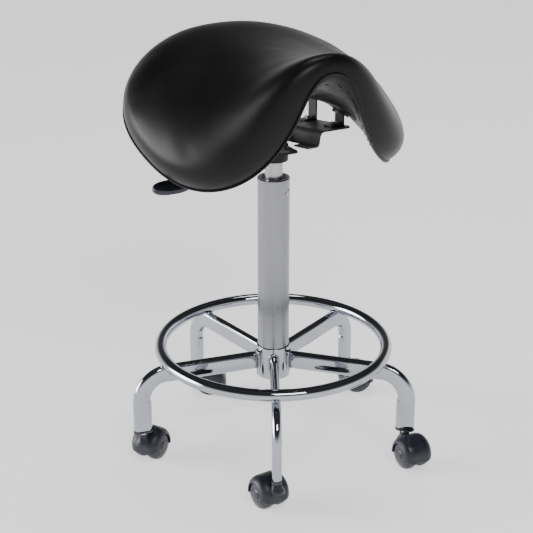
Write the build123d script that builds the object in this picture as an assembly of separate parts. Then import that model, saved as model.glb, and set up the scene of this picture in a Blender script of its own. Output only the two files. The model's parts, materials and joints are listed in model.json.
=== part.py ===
from build123d import *

import os
from math import cos, pi, radians, sin

# A saddle stool on a five-legged castor base. Millimetres, +Z up. The origin is on the floor
# under the column, and the sitter faces -Y. Headings are measured from +X towards +Y.

# Base
LEG_COUNT = 5
LEG_STEP = 360.0 / LEG_COUNT
FIRST_LEG = -117.0
LEG_REACH = 220.5
LEG_LEVEL = 153.0
LEG_END = 58.0
LEG_BEND = 45.0
OVAL_TALL = 30.0
OVAL_WIDE = 15.0
OVAL_WALL = 1.5
RING_REACH = 181.6
RING_TUBE = 19.0
RING_LEVEL = 176.9
RING_WALL = 1.5
HUB_RADIUS = 27.0
HUB_LOW, HUB_HIGH = 125.0, 178.0
WELD = 3.0
RING_WELD_RADIUS, RING_WELD_LONG = 2.6, 7.0
PLUG_RIM, PLUG_SHANK = 3.0, 24.0
PLUG_PLAY = 0.2

# Castors
TRAIL_HEADINGS = (96.0, 270.0, -14.0, -28.0, 33.0)
TRAIL = 22.0
WHEEL_RADIUS = 25.0
WHEEL_WIDE = 17.0
WHEEL_GAP = 12.6
HOOD_RADIUS = 28.5
HOOD_WALL = 2.2
HOOD_WIDE = 49.0
HOOD_LOW = 18.0
WEB_WIDE = 11.0
AXLE_RADIUS = 3.0
STEM_RADIUS = 5.0
BOSS_RADIUS = 8.0
BOSS_TOP = 52.0
FLANGE_RADIUS = 6.6
RUNNING = 0.05
HELD = 0.02

# Column and gas lift
COLUMN_RADIUS = 25.0
COLUMN_WALL = 1.5
COLUMN_LOW, COLUMN_HIGH = 126.0, 456.0
FLOOR_PLATE = 3.0
COLLAR_HIGH = 5.0
BUSH_LONG = 70.0
BUSH_RIM = 4.9
SCREW_RADIUS = 2.2
SCREW_PLACES = ((-66.0, 18.0), (-48.0, 14.0))
BALL_COUNT, BALL_RADIUS, BALL_REACH = 8, 1.5, 8.2
WASHER_RADIUS, WASHER_THICK = 12.0, 1.5
BEARING_HIGH = 2 * WASHER_THICK + 2 * BALL_RADIUS
GAS_RADIUS = 14.0
GAS_WALL = 1.5
GAS_LOW, GAS_HIGH = 152.0, 515.0
HEAD_TAPER = 1.44
HEAD_WALL = 12.0
ROD_RADIUS = 4.0
SHOULDER_RADIUS, SHOULDER_THICK = 7.0, 2.0
CLIP_RADIUS, CLIP_DROP, CLIP_THICK = 8.0, 3.4, 1.4
GROOVE_DEEP = 0.8
BUMPER_RADIUS = 9.5
GLAND_HIGH = 14.0
PISTON_LEVEL = 482.0
PISTON_HIGH = 12.0
PISTON_GROOVE = (4.5, 7.5)
PIN_RADIUS = 3.0
PIN_TOP = 520.0

# Seat carrier
SOCKET_RADIUS = 22.5
SOCKET_LOW, SOCKET_HIGH = 489.0, 513.0
TRAY_LOW = 503.0
SHEET = 2.5
TRAY_X = 56.0
TRAY_FRONT, TRAY_REAR = -30.0, 34.0
TRAY_CORNER = 6.0
EAR = 8.0
PIVOT_EAR_NEAR, PIVOT_EAR_FAR = 7.0, 9.5
PIVOT_RADIUS = 2.0
TILT_Y, TILT_Z = 22.0, 520.0
TILT_PIN = 4.0
PIN_HEAD_RADIUS, PIN_HEAD_THICK = 6.0, 3.0
NUT_X, NUT_RADIUS, NUT_THICK = 41.0, 6.6, 4.0
PIVOT_X, PIVOT_Z = -26.0, 524.3
LEVER_ROD = 4.0
LEVER_BENDS = (22.0, 26.0)
LEVER_LEVEL_END, LEVER_SLOPE_END, LEVER_END = -44.0, -112.0, -154.0
PADDLE_LONG, PADDLE_WIDE, PADDLE_THICK = 62.0, 28.0, 9.0
PADDLE_TIP, PADDLE_LEVEL = 203.0, 472.0
PADDLE_ROUND = 4.0

# Seat plate, built level and then pitched nose-up about the column axis
PLATE_LEVEL = 536.0
PLATE_PITCH = 9.0
PLATE_X, PLATE_Y = 190.0, 150.0
WALL_X = 34.0
WALL_DEEP = 24.0
WALL_SPREAD = 5.5
LIP_X = 15.0
FOLD_TOP, FOLD_LOW = 9.0, 6.0
TIE_LONG = 26.0
WINDOW_FRONT, WINDOW_TOP = 42.0, -6.0
CORNER = 12.0
LEVER_NOTCH = 13.0

# Saddle: a superellipse bent down over the thighs
SADDLE_Y = 17.0
SADDLE_LONG = 190.8
SADDLE_HALF = 221.5
SADDLE_POWER = 2.38
SPINE = (596.0, 5.5, 32.7, -27.8, 18.6)
SPINE_UNIT = 200.0
DROOP_FRONT, DROOP_REAR, DROOP_MID = 72.5, 17.4, -11.0
BEND_FRONT, BEND_REAR, BEND_MID = 75.4, 311.0, 42.5
PAD_THICK = 62.0
PAD_SQUARE = 8.0
PAD_RIM = 6.0
SHELL_PART = 0.93
SHELL_LOW, SHELL_THICK = -1.5, 10.0
SECTION_COUNT = 13
SECTION_STEPS = 16
END_TURN = 0.13

# Brackets between the plate and the shell
POST_P = 96.0
POST_Q = (-62.0, 28.0)
POST_GAP = 1.2
BRACKET_WIDE, BRACKET_DEEP = 26.0, 24.0
BRACKET_WEB = 2.0
FOOT_REACH = 20.0
BOLT_RADIUS, BOLT_HEAD, BOLT_HEAD_THICK = 3.0, 5.5, 4.0
BOLT_PLAY = 0.2
SHELL_BOLT_IN, SHELL_BOLT_LONG = 6.0, 10.0
PLATE_BOLT_IN, PLATE_BOLT_LONG = 9.0, 9.0
FAR = 120.0


def around(part, heading):
    """Turn a piece that was built along +X to a heading about the column axis."""
    return Rot(0, 0, heading) * part


def leg_heading(k):
    return FIRST_LEG + k * LEG_STEP


def tube(outer, inner, low, high):
    """Upright ring or tube about Z."""
    ring = Circle(outer) - Circle(inner)
    return Pos(0, 0, low) * extrude(ring, amount=high - low)


def rod(radius, low, high):
    """Upright round bar about Z."""
    return Pos(0, 0, low) * extrude(Circle(radius), amount=high - low)


def block(x0, x1, y0, y1, z0, z1):
    """Box between two corners."""
    centre = Pos((x0 + x1) / 2, (y0 + y1) / 2, (z0 + z1) / 2)
    return centre * Box(x1 - x0, y1 - y0, z1 - z0)


def cross_pin(radius, reach, y, z):
    """Round bar along X, centred on the middle plane."""
    return Pos(0, y, z) * Rot(0, 90, 0) * Cylinder(radius, 2 * reach)


def oval(tall, wide):
    return Rot(0, 0, 90) * SlotOverall(tall, wide)


# ---------------------------------------------------------------- base


def leg_plane(x):
    """Plane across a leg at a distance x from the column axis."""
    return Plane(origin=(x, 0, LEG_LEVEL), x_dir=(0, 1, 0), z_dir=(1, 0, 0))


def leg_form(section):
    """Sweep a cross section out level from inside the hub and down to the castor."""
    start = HUB_RADIUS - 4
    corners = [(start, 0, LEG_LEVEL), (LEG_REACH, 0, LEG_LEVEL), (LEG_REACH, 0, LEG_END)]
    return sweep(leg_plane(start) * section, path=FilletPolyline(*corners, radius=LEG_BEND))


def leg_tube():
    """Flat-oval tube, cut to fit the hub and the foot ring."""
    outer = oval(OVAL_TALL, OVAL_WIDE)
    inner = oval(OVAL_TALL - 2 * OVAL_WALL, OVAL_WIDE - 2 * OVAL_WALL)
    return leg_form(outer - inner) - hub_form() - ring_form()


def hub_form():
    """The hub sleeve's outer form, filled."""
    return rod(HUB_RADIUS, HUB_LOW, HUB_HIGH)


def ring_form():
    """The foot ring's outer form, filled."""
    return Pos(0, 0, RING_LEVEL) * Torus(RING_REACH, RING_TUBE / 2)


def foot_ring():
    return ring_form() - Pos(0, 0, RING_LEVEL) * Torus(RING_REACH, RING_TUBE / 2 - RING_WALL)


def leg_welds():
    """A bead round the leg at the hub, and one on each side of the foot ring."""
    outline = leg_plane(HUB_RADIUS - 2)
    bead = extrude(outline * oval(OVAL_TALL + WELD, OVAL_WIDE + WELD), amount=2 + WELD)
    core = extrude(outline * oval(OVAL_TALL, OVAL_WIDE), amount=2 + WELD)
    pieces = [bead - core - hub_form()]
    solid_leg = leg_form(oval(OVAL_TALL, OVAL_WIDE))
    for side in (-1, 1):
        place = Pos(RING_REACH + side * RING_WELD_LONG, 0, LEG_LEVEL + OVAL_TALL / 2 + 1)
        seam = place * Rot(90, 0, 0) * Cylinder(RING_WELD_RADIUS, RING_WELD_LONG)
        pieces.append(seam - ring_form() - solid_leg)
    return pieces


def leg_plug():
    """Nylon plug with a rim under the tube end and a bore for the castor stem."""
    rim = SlotOverall(OVAL_TALL + 1.0, OVAL_WIDE + 1.0)
    inside = 2 * OVAL_WALL + PLUG_PLAY
    shank = SlotOverall(OVAL_TALL - inside, OVAL_WIDE - inside)
    body = Pos(0, 0, LEG_END - PLUG_RIM) * extrude(rim, amount=PLUG_RIM)
    body += Pos(0, 0, LEG_END) * extrude(shank, amount=PLUG_SHANK)
    body -= rod(STEM_RADIUS + HELD, LEG_END - PLUG_RIM - 1, LEG_END + PLUG_SHANK - 4)
    return Pos(LEG_REACH, 0, 0) * body


# ------------------------------------------------------------- castors


def castor_frame(k):
    """Place for castor k: origin at the axle's middle, wheels turning about local Y."""
    heading = leg_heading(k)
    stem = Vector(LEG_REACH * cos(radians(heading)), LEG_REACH * sin(radians(heading)), 0)
    trail = TRAIL_HEADINGS[k]
    offset = Vector(TRAIL * cos(radians(trail)), TRAIL * sin(radians(trail)), WHEEL_RADIUS)
    return Location(stem + offset, (0, 0, trail))


def across(radius, reach):
    """Bar along local Y about the axle."""
    return Rot(90, 0, 0) * Cylinder(radius, 2 * reach)


def castor_body():
    """Web between the wheels, hood over both of them and a boss for the stem."""
    above = block(-40, 40, -40, 40, HOOD_LOW - WHEEL_RADIUS, 60)
    hood = across(HOOD_RADIUS, HOOD_WIDE / 2) - across(HOOD_RADIUS - HOOD_WALL, HOOD_WIDE)
    web = across(HOOD_RADIUS - 0.5, WEB_WIDE / 2) & above
    web += across(WHEEL_RADIUS - 6.0, WEB_WIDE / 2)
    boss = Pos(-TRAIL, 0, 0) * rod(BOSS_RADIUS, 4.0, BOSS_TOP - WHEEL_RADIUS)
    room = across(HOOD_RADIUS - HOOD_WALL, HOOD_WIDE) - across(HOOD_RADIUS, WEB_WIDE / 2)
    body = (hood & above) + web + (boss - room)
    body -= Pos(-TRAIL, 0, 0) * rod(STEM_RADIUS + RUNNING, 7.0, 40.0)
    return body - across(AXLE_RADIUS, WEB_WIDE)


def castor_wheel(side):
    """One of the twin wheels: rounded tread, dished outside with a hub cap bulge."""
    inner = WHEEL_GAP / 2
    outer = inner + WHEEL_WIDE
    profile = make_face(
        Polyline(
            (AXLE_RADIUS + RUNNING, inner),
            (WHEEL_RADIUS - 1.5, inner),
            (WHEEL_RADIUS, inner + 1.5),
            (WHEEL_RADIUS, outer - 2.5),
            (WHEEL_RADIUS - 2.5, outer),
            (WHEEL_RADIUS - 5.0, outer),
            (WHEEL_RADIUS - 7.0, outer - 1.5),
            (11.0, outer - 0.5),
            (9.0, outer + 1.5),
            (AXLE_RADIUS + RUNNING, outer + 1.5),
            close=True,
        )
    )
    wheel = revolve(Plane.XY * profile, axis=Axis.Y)
    return wheel if side > 0 else mirror(wheel, about=Plane.XZ)


def castor_stem():
    """Bright steel stem held by the leg plug, with a flange under it."""
    pin = rod(STEM_RADIUS, BOSS_TOP - 17.5, LEG_END + PLUG_SHANK - 4.5)
    pin += rod(FLANGE_RADIUS, BOSS_TOP + 0.4, LEG_END - PLUG_RIM - RUNNING)
    return Pos(LEG_REACH, 0, 0) * pin


# ------------------------------------------------- column and gas lift


def column_tube():
    wall = tube(COLUMN_RADIUS, COLUMN_RADIUS - COLUMN_WALL, COLUMN_LOW, COLUMN_HIGH)
    top = COLUMN_LOW + FLOOR_PLATE
    return wall + tube(COLUMN_RADIUS - COLUMN_WALL, ROD_RADIUS + 1.0, COLUMN_LOW, top)


def column_collar():
    """Rolled ring that closes the top of the column."""
    ring = tube(COLUMN_RADIUS + 0.6, GAS_RADIUS + 5.0, COLUMN_HIGH, COLUMN_HIGH + COLLAR_HIGH)
    return chamfer(ring.edges().filter_by(GeomType.CIRCLE).sort_by(Axis.Z)[-2:], 1.2)


def guide_bush():
    """Plastic sleeve that the gas cylinder slides in."""
    bore = GAS_RADIUS + RUNNING
    sleeve = tube(COLUMN_RADIUS - COLUMN_WALL - HELD, bore, COLUMN_HIGH - BUSH_LONG, COLUMN_HIGH)
    return sleeve + tube(GAS_RADIUS + BUSH_RIM, bore, COLUMN_HIGH, COLUMN_HIGH + COLLAR_HIGH)


def column_screws():
    """Two small screws that hold the guide bush, on the right of the column near its top."""
    column = rod(COLUMN_RADIUS, COLUMN_LOW, COLUMN_HIGH)
    screws = []
    for heading, drop in SCREW_PLACES:
        head = Rot(0, 90, 0) * Cylinder(SCREW_RADIUS, 1.6)
        screws.append(around(Pos(COLUMN_RADIUS + 0.6, 0, COLUMN_HIGH - drop) * head - column, heading))
    return screws


def thrust_bearing():
    """Two washers with a ring of balls between them."""
    parts = []
    for low in (COLUMN_LOW + FLOOR_PLATE, COLUMN_LOW + FLOOR_PLATE + BEARING_HIGH - WASHER_THICK):
        parts.append(tube(WASHER_RADIUS, ROD_RADIUS + 0.3, low, low + WASHER_THICK))
    ball = Pos(BALL_REACH, 0, COLUMN_LOW + FLOOR_PLATE + BEARING_HIGH / 2) * Sphere(BALL_RADIUS)
    for k in range(BALL_COUNT):
        parts.append(around(ball, 360.0 * k / BALL_COUNT))
    return parts


def piston_rod():
    """Rod that stands on the thrust bearing, with a groove for the clip below the plate."""
    shoulder = COLUMN_LOW + FLOOR_PLATE + BEARING_HIGH + RUNNING
    low = COLUMN_LOW - CLIP_DROP
    shaft = rod(ROD_RADIUS, low - 2.6, PISTON_LEVEL)
    shaft += rod(SHOULDER_RADIUS, shoulder, shoulder + SHOULDER_THICK)
    return shaft - tube(ROD_RADIUS + 1, ROD_RADIUS - GROOVE_DEEP, low - 0.1, low + CLIP_THICK + 0.1)


def retaining_clip():
    """Open ring that keeps the rod from lifting out of the column's floor plate."""
    low = COLUMN_LOW - CLIP_DROP
    ring = tube(CLIP_RADIUS, ROD_RADIUS - GROOVE_DEEP + RUNNING, low, low + CLIP_THICK)
    return ring - block(0, 2 * CLIP_RADIUS, -2.4, 2.4, low - 1, low + 3)


def bumper():
    """Rubber sleeve that the gas cylinder lands on."""
    low = COLUMN_LOW + FLOOR_PLATE + BEARING_HIGH + SHOULDER_THICK + 2 * RUNNING
    return tube(BUMPER_RADIUS, ROD_RADIUS + RUNNING, low, GAS_LOW - 1.0)


def piston():
    """Piston on the rod's end, with a groove for its ring."""
    bore = GAS_RADIUS - GAS_WALL
    low, high = (PISTON_LEVEL + level for level in PISTON_GROOVE)
    body = rod(bore - 2 * RUNNING, PISTON_LEVEL, PISTON_LEVEL + PISTON_HIGH)
    return body - tube(GAS_RADIUS, bore - 1.4, low, high)


def gas_cylinder():
    """Pressure tube with a tapered head that carries the seat."""
    body = rod(GAS_RADIUS, GAS_LOW, SOCKET_LOW)
    body += head_form(GAS_RADIUS, GAS_HIGH - SOCKET_LOW)
    body -= rod(GAS_RADIUS - GAS_WALL, GAS_LOW - 1, GAS_HIGH - HEAD_WALL)
    return body - rod(PIN_RADIUS + RUNNING, GAS_HIGH - HEAD_WALL - 1, GAS_HIGH + 1)


def head_form(radius, high):
    """The cylinder's tapered head, from the socket's lower end up."""
    return Pos(0, 0, SOCKET_LOW) * extrude(Circle(radius), amount=high, taper=HEAD_TAPER)


def rod_gland():
    """Seal block that closes the lower end of the gas cylinder."""
    return tube(GAS_RADIUS - GAS_WALL - HELD, ROD_RADIUS + RUNNING, GAS_LOW, GAS_LOW + GLAND_HIGH)


def release_pin():
    return rod(PIN_RADIUS, GAS_HIGH - HEAD_WALL - 2, PIN_TOP)


# -------------------------------------------------------- seat carrier


def socket_bracket():
    """Tapered socket under a folded tray with ears for the tilt pin and the lever pivot."""
    tray = block(-TRAY_X / 2, TRAY_X / 2, TRAY_FRONT, TRAY_REAR, TRAY_LOW, TRAY_LOW + SHEET)
    tray = fillet(tray.edges().filter_by(Axis.Z), TRAY_CORNER)
    body = tray + rod(SOCKET_RADIUS, SOCKET_LOW, SOCKET_HIGH)
    side = TRAY_X / 2
    for sign in (-1, 1):
        near, far = sorted((sign * side, sign * (side - SHEET)))
        body += block(near, far, TILT_Y - EAR, TILT_Y + EAR, TRAY_LOW, TILT_Z + EAR)
        near, far = sorted((sign * PIVOT_EAR_NEAR, sign * PIVOT_EAR_FAR))
        body += block(PIVOT_X - 4, PIVOT_X + 5, near, far, TRAY_LOW, PIVOT_Z + 5)
    body -= head_form(GAS_RADIUS + HELD, SOCKET_HIGH - SOCKET_LOW + 1)
    body -= cross_pin(TILT_PIN + HELD, TRAY_X, TILT_Y, TILT_Z)
    return body - Pos(PIVOT_X, 0, PIVOT_Z) * across(PIVOT_RADIUS, PIVOT_EAR_FAR + 2.5)


def tilt_pin():
    """Headed pin through the tray's ears and the plate's side walls."""
    head = Rot(0, 90, 0) * Cylinder(PIN_HEAD_RADIUS, PIN_HEAD_THICK)
    pin = cross_pin(TILT_PIN, NUT_X + NUT_THICK + 1.5, TILT_Y, TILT_Z)
    return pin + Pos(-NUT_X - PIN_HEAD_THICK / 2, TILT_Y, TILT_Z) * head


def tilt_nut():
    """Clamp nut that sets how stiffly the seat tilts."""
    hexagon = RegularPolygon(NUT_RADIUS, 6) - Circle(TILT_PIN + HELD)
    return Pos(NUT_X, TILT_Y, TILT_Z) * Rot(0, 90, 0) * extrude(hexagon, amount=NUT_THICK)


def lever_pivot():
    return Pos(PIVOT_X, 0, PIVOT_Z) * across(PIVOT_RADIUS - HELD, PIVOT_EAR_FAR + 1)


def lever_rod():
    """Bent rod from over the release pin, through the pivot, down to the paddle."""
    corners = [
        (LEVER_ROD, 0, PIVOT_Z),
        (LEVER_LEVEL_END, 0, PIVOT_Z),
        (LEVER_SLOPE_END, 0, PADDLE_LEVEL + 2),
        (LEVER_END, 0, PADDLE_LEVEL),
    ]
    path = FilletPolyline(*corners, radius=LEVER_BENDS)
    section = Plane(origin=corners[0], x_dir=(0, 1, 0), z_dir=(-1, 0, 0)) * Circle(LEVER_ROD)
    bore = Pos(PIVOT_X, 0, PIVOT_Z) * across(PIVOT_RADIUS + RUNNING, 2 * LEVER_ROD)
    return sweep(section, path=path) - bore


def lever_paddle():
    """Flat oval grip moulded over the rod's end."""
    centre = -PADDLE_TIP + PADDLE_LONG / 2
    outline = SlotOverall(PADDLE_LONG, PADDLE_WIDE)
    body = extrude(outline, amount=PADDLE_THICK / 2, both=True)
    body = fillet(body.edges(), PADDLE_ROUND)
    return Pos(centre, 0, PADDLE_LEVEL) * body - lever_rod()


# ---------------------------------------------------------- seat plate


def pitched(part):
    """Move a piece built level about the plate's top face to its nose-up place."""
    return Pos(0, 0, PLATE_LEVEL) * Rot(-PLATE_PITCH, 0, 0) * part


def seat_plate():
    """Pressed plate: two wings that fold down into side walls with inward lips."""
    half = FilletPolyline(
        (PLATE_X / 2, -SHEET / 2),
        (WALL_X + WALL_SPREAD, -SHEET / 2),
        (WALL_X, SHEET / 2 - WALL_DEEP),
        (LIP_X, SHEET / 2 - WALL_DEEP),
        radius=(FOLD_TOP, FOLD_LOW),
    )
    section = Plane.XZ * trace(half, line_width=SHEET)
    right = extrude(section, amount=PLATE_Y / 2, both=True)
    plate = right + mirror(right, about=Plane.YZ) + plate_ties() - plate_corners()
    front, rear = WINDOW_FRONT - PLATE_Y / 2, PLATE_Y / 2 - TIE_LONG
    plate -= block(3 - WALL_X, WALL_X - 3, front, rear, -WALL_DEEP - 1, WINDOW_TOP)
    notch = block(-WALL_X - 9, 8 - WALL_X, -LEVER_NOTCH, LEVER_NOTCH, -WALL_DEEP - 1, 0.01 - SHEET)
    plate = pitched(plate - notch) - cross_pin(TILT_PIN + RUNNING, 60, TILT_Y, TILT_Z)
    for side, place in posts():
        plate -= foot_place(side, place) * bolt_hole(20)
    return plate


def plate_ties():
    """Strips behind the walls that join the two wings above and the two lips below."""
    rear = PLATE_Y / 2
    above = block(-WALL_X - 14, WALL_X + 14, rear - TIE_LONG, rear, -SHEET, 0)
    below = block(-LIP_X - 6, LIP_X + 6, rear - TIE_LONG, rear, -WALL_DEEP, SHEET - WALL_DEEP)
    return above + below


def plate_corners():
    """What is cut away to round the wings' four corners."""
    square = block(-CORNER, 1, -CORNER, 1, -2 * SHEET, SHEET)
    corner = square - Pos(-CORNER, -CORNER, 0) * Cylinder(CORNER, 10)
    cut = Pos(PLATE_X / 2, PLATE_Y / 2, 0) * corner
    cut += mirror(cut, about=Plane.YZ)
    return cut + mirror(cut, about=Plane.XZ)


# -------------------------------------------------------------- saddle


def span(q):
    """Half width of the flat blank at a distance q behind its middle."""
    return SADDLE_HALF * (1 - abs(q / SADDLE_LONG) ** SADDLE_POWER) ** (1 / SADDLE_POWER)


def outward(p, q):
    """How far out on the blank a point lies: 0 in the middle, 1 on the rim."""
    total = abs(p / SADDLE_HALF) ** SADDLE_POWER + abs(q / SADDLE_LONG) ** SADDLE_POWER
    return total ** (1 / SADDLE_POWER)


def blend_along(q, front, rear, mid):
    t = (q + SADDLE_LONG) / (2 * SADDLE_LONG)
    return front + (rear - front) * t + mid * 4 * t * (1 - t)


def slope(p, q):
    """Angle of the bent blank below level, in radians."""
    droop = radians(blend_along(q, DROOP_FRONT, DROOP_REAR, DROOP_MID))
    bend = blend_along(q, BEND_FRONT, BEND_REAR, BEND_MID)
    return droop * (1 - (1 - min(p / bend, 1.0)) ** 2)


def bent(p, q, height):
    """Point on the cross section at q: p along the bent blank, height above it."""
    steps = 24
    reach, drop = 0.0, 0.0
    for k in range(steps):
        angle = slope(abs(p) * (k + 0.5) / steps, q)
        reach += abs(p) / steps * cos(angle)
        drop += abs(p) / steps * sin(angle)
    angle = slope(abs(p), q)
    u = q / SPINE_UNIT
    spine = sum(c * u**k for k, c in enumerate(SPINE))
    side = 1 if p >= 0 else -1
    return (side * (reach + height * sin(angle)), q + SADDLE_Y, spine - drop + height * cos(angle))


def band(q, edge, top, bottom):
    """Closed cross section at q between two heights, out to a fraction of the blank."""
    half = edge * span(q / edge)
    upper, lower = [], []
    for k in range(SECTION_STEPS + 1):
        p = half * cos(pi * k / SECTION_STEPS)
        out = min(outward(p, q) / edge, 1.0)
        upper.append(bent(p, q, top(out)))
        lower.append(bent(p, q, bottom(out)))
    crown = Spline(*upper)
    hollow = Spline(*lower)
    return make_face([crown, Line(crown @ 1, hollow @ 1), hollow, Line(hollow @ 0, crown @ 0)])


def saddle_body(edge, top, bottom):
    """Loft of cross sections from the pommel to the back."""
    faces = []
    for k in range(SECTION_COUNT):
        turn = END_TURN + (pi - 2 * END_TURN) * k / (SECTION_COUNT - 1)
        faces.append(band(-edge * SADDLE_LONG * cos(turn), edge, top, bottom))
    return loft(faces)


def pad_top(out):
    return PAD_RIM + (PAD_THICK - PAD_RIM) * max(1 - out**PAD_SQUARE, 0.0) ** 0.5


def pad_bottom(out):
    return (SHELL_LOW + SHELL_THICK + 0.5) * max(1 - out**40, 0.0) ** 0.5


def shell_top(out):
    return SHELL_LOW + SHELL_THICK


def shell_bottom(out):
    return SHELL_LOW


def plate_height(y):
    """Height of the plate's top face at a distance y behind the column."""
    return PLATE_LEVEL - y * sin(radians(PLATE_PITCH)) / cos(radians(PLATE_PITCH))


def posts():
    """For each bracket: its side, and a plane just under the shell with its normal pointing up."""
    places = []
    for q in POST_Q:
        for side in (-1, 1):
            middle = Vector(*bent(side * POST_P, q, SHELL_LOW - POST_GAP))
            outer = Vector(*bent(side * (POST_P + 10), q, SHELL_LOW - POST_GAP))
            behind = Vector(*bent(side * POST_P, q + 10, SHELL_LOW - POST_GAP))
            across_seat = (outer - middle) * side
            along_seat = behind - middle
            normal = across_seat.cross(along_seat)
            places.append((side, Plane(origin=middle, x_dir=across_seat, z_dir=normal)))
    return places


def bolt(long):
    """Hexagon bolt along +Z from the underside of its head."""
    head = extrude(RegularPolygon(BOLT_HEAD, 6), amount=-BOLT_HEAD_THICK)
    return head + extrude(Circle(BOLT_RADIUS), amount=long)


def foot_place(side, place):
    """Place on the plate's top face where a bracket's foot is bolted, normal to the plate."""
    x, y = place.origin.X - side * PLATE_BOLT_IN, place.origin.Y
    return Pos(x, y, plate_height(y)) * Rot(-PLATE_PITCH, 0, 0)


def seat_bolts():
    """For each bracket one bolt up into the shell and one down through the plate."""
    bolts = []
    for side, place in posts():
        bolts.append(place * (Pos(-side * SHELL_BOLT_IN, 0, -SHEET) * bolt(SHELL_BOLT_LONG)))
        bolts.append(foot_place(side, place) * Pos(0, 0, SHEET) * Rot(180, 0, 0) * bolt(PLATE_BOLT_LONG))
    return bolts


def bolt_hole(depth):
    """Clearance hole along Z."""
    return Cylinder(BOLT_RADIUS + BOLT_PLAY, depth)


def seat_brackets():
    """Four angle brackets that carry the shell on the plate's wings."""
    below = pitched(Pos(0, 0, -FAR / 2) * Box(PLATE_X * 2, PLATE_Y * 2, FAR))
    layer = pitched(Pos(0, 0, SHEET / 2) * Box(PLATE_X * 2, PLATE_Y * 2, SHEET))
    brackets = []
    for side, place in posts():
        top = place.origin
        front, rear = top.Y - BRACKET_DEEP / 2, top.Y + BRACKET_DEEP / 2
        edge = top.X + side * BRACKET_WEB
        flange = place * (Pos(0, 0, -SHEET / 2) * Box(BRACKET_WIDE, BRACKET_DEEP, SHEET))
        inner, outer = sorted((edge, edge - side * SHEET))
        web = block(inner, outer, front, rear, top.Z - FAR, top.Z - 2)
        near, far = sorted((edge, top.X - side * FOOT_REACH))
        foot = layer & block(near, far, front, rear, top.Z - FAR, top.Z)
        bracket = flange + web + foot - below
        bracket -= foot_place(side, place) * bolt_hole(20)
        brackets.append(bracket - place * (Pos(-side * SHELL_BOLT_IN, 0, 0) * bolt_hole(8)))
    return brackets


# -------------------------------------------------------------- output


def save(name, piece):
    solids = piece if isinstance(piece, list) else [piece]
    loose = [solid for item in solids for solid in item.solids()]
    export_step(loose[0] if len(loose) == 1 else Compound(children=loose), f"parts/{name}.step")


os.makedirs("parts", exist_ok=True)

leg = leg_tube()
plug = leg_plug()
stem = castor_stem()
body = castor_body()
for k in range(LEG_COUNT):
    number = k + 1
    place = castor_frame(k)
    save(f"leg_{number}", around(leg, leg_heading(k)))
    save(f"leg_plug_{number}", around(plug, leg_heading(k)))
    save(f"castor_{number}_stem", around(stem, leg_heading(k)))
    save(f"castor_{number}_body", place * body)
    save(f"castor_{number}_axle", place * across(AXLE_RADIUS, WHEEL_GAP / 2 + WHEEL_WIDE))
    save(f"castor_{number}_wheel_left", place * castor_wheel(1))
    save(f"castor_{number}_wheel_right", place * castor_wheel(-1))

welds = leg_welds()
save("welds", [around(bead, leg_heading(k)) for k in range(LEG_COUNT) for bead in welds])
save("hub_sleeve", tube(HUB_RADIUS, COLUMN_RADIUS + 0.02, HUB_LOW, HUB_HIGH))
save("foot_ring", foot_ring())
save("column_tube", column_tube())
save("column_collar", column_collar())
save("guide_bush", guide_bush())
save("column_screws", column_screws())
save("thrust_bearing", thrust_bearing())
save("piston_rod", piston_rod())
save("retaining_clip", retaining_clip())
save("bumper", bumper())
save("piston", piston())
save("gas_cylinder", gas_cylinder())
save("rod_gland", rod_gland())
save("release_pin", release_pin())
save("socket_bracket", socket_bracket())
save("carrier_pins", [tilt_pin(), lever_pivot()])
save("tilt_nut", tilt_nut())
save("lever_rod", lever_rod())
save("lever_paddle", lever_paddle())
save("seat_plate", seat_plate())
save("seat_brackets", seat_brackets())
save("seat_bolts", seat_bolts())
save("seat_shell", saddle_body(SHELL_PART, shell_top, shell_bottom))
save("seat_pad", saddle_body(1.0, pad_top, pad_bottom))
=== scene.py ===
import json
import math

import bmesh
import bpy
import numpy as np
from mathutils import Matrix, Vector
from mathutils.kdtree import KDTree


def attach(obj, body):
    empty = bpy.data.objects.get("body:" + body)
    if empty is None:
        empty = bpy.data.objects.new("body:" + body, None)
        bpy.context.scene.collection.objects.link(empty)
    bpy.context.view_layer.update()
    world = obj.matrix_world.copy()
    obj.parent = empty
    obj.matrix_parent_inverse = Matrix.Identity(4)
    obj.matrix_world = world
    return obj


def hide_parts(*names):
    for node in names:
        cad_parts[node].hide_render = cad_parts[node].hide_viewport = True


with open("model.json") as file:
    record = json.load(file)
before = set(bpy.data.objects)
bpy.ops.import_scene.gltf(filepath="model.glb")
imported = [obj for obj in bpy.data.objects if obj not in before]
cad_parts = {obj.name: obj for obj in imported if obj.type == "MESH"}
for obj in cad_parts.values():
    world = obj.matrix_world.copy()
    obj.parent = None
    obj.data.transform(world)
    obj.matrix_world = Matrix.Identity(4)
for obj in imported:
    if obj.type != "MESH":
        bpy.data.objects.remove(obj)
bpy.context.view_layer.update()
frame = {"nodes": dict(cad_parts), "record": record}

nodes = frame["nodes"]
scene = bpy.context.scene
MM = 0.001


# ------------------------------------------------------------------ camera

VIEW_HEADING = math.radians(28.1)    # how far the view is turned from the sitter's own way
VIEW_PITCH = math.radians(22.28)
VIEW_REACH = 2.074
VIEW_SIDE = -0.011
VIEW_HEIGHT = 1.161
LENS = 95.8


def add_camera():
    data = bpy.data.cameras.new("camera")
    data.lens = LENS
    data.sensor_width = 36.0
    camera = bpy.data.objects.new("camera", data)
    scene.collection.objects.link(camera)
    c, s = math.cos(VIEW_HEADING), math.sin(VIEW_HEADING)
    x = VIEW_SIDE * c - VIEW_REACH * s
    y = -VIEW_SIDE * s - VIEW_REACH * c
    camera.location = (x, y, VIEW_HEIGHT)
    camera.rotation_euler = (math.pi / 2 - VIEW_PITCH, 0, -VIEW_HEADING)
    scene.camera = camera


# ------------------------------------------------------------------ studio

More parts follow.
